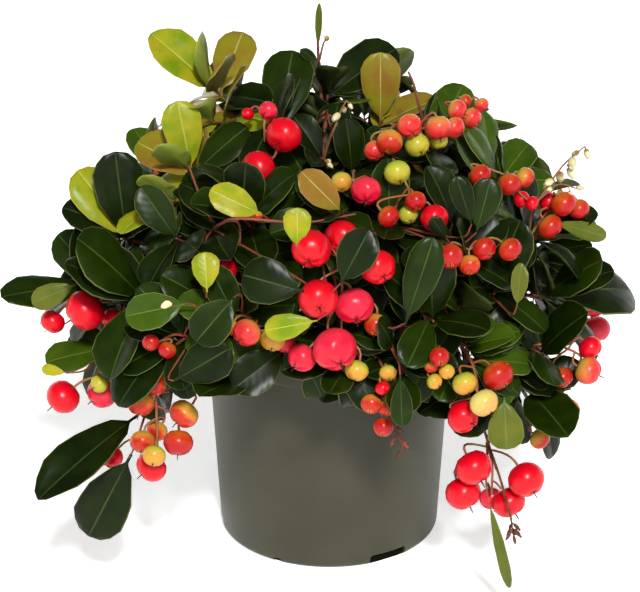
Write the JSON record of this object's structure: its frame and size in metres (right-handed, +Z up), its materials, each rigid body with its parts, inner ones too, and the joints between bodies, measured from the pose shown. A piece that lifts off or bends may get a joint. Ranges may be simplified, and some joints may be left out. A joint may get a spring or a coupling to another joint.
{
  "type": "potted wintergreen shrub",
  "caption": "Low evergreen wintergreen shrub with glossy oval leaves and hanging clusters of round red and orange berries, standing in a tapered grey plastic nursery pot.",
  "frame": {"origin": "middle of the pot's flat foot, on the ground", "axes": "+Z up along the pot's axis, -Y towards the front of the plant, +X to the viewer's right"},
  "size_m": [0.2481, 0.2282, 0.2246],
  "materials": {
    "pot_plastic": "matte grey-taupe",
    "potting_mix": "dark, crumbly",
    "bark": "reddish-brown bark",
    "foliage": "glossy dark green leaves",
    "young_foliage": "glossy lime green leaves"
  },
  "bodies": {
    "root": {"back_1_1": "foliage", "back_1_2": "foliage", "back_1_3": "foliage", "back_1_4": "foliage", "back_1_5": "foliage", "back_1_6": "foliage", "back_2_1": "foliage", "back_2_2": "foliage", "back_2_3": "foliage", "back_2_4": "foliage", "back_2_5": "foliage", "back_2_6": "foliage", "back_3_1": "foliage", "back_3_2": "foliage", "back_3_3": "foliage", "back_3_4": "foliage", "far_left": "foliage", "front_left": "foliage", "front_left_low": "foliage", "front_middle": "foliage", "front_right": "foliage", "front_right_low": "foliage", "left_back_top": "foliage", "left_flank": "foliage", "left_front": "foliage", "left_hanging": "foliage", "left_inner": "foliage", "left_low": "foliage", "left_shoulder": "foliage", "middle_left": "foliage", "middle_low": "foliage", "pot": "pot_plastic", "potting_mix": "potting_mix", "right_core": "foliage", "right_flank": "foliage", "right_front": "foliage", "right_fruiting": "foliage", "right_hanging": "young_foliage", "right_inner": "foliage", "right_low": "foliage", "right_low_hanging": "foliage", "right_shoulder": "foliage", "right_upper": "foliage", "stem_1": "bark", "stem_2": "bark", "stem_3": "bark", "stem_4": "bark", "stem_5": "bark", "stem_6": "bark", "stem_7": "bark", "stem_8": "bark", "top_left": "young_foliage", "top_left_inner": "foliage", "top_middle": "foliage", "top_right": "foliage", "top_right_back": "foliage", "top_right_inner": "foliage", "top_twig": "foliage", "upper_left": "young_foliage", "upper_middle": "foliage"}
  },
  "joints": []
}
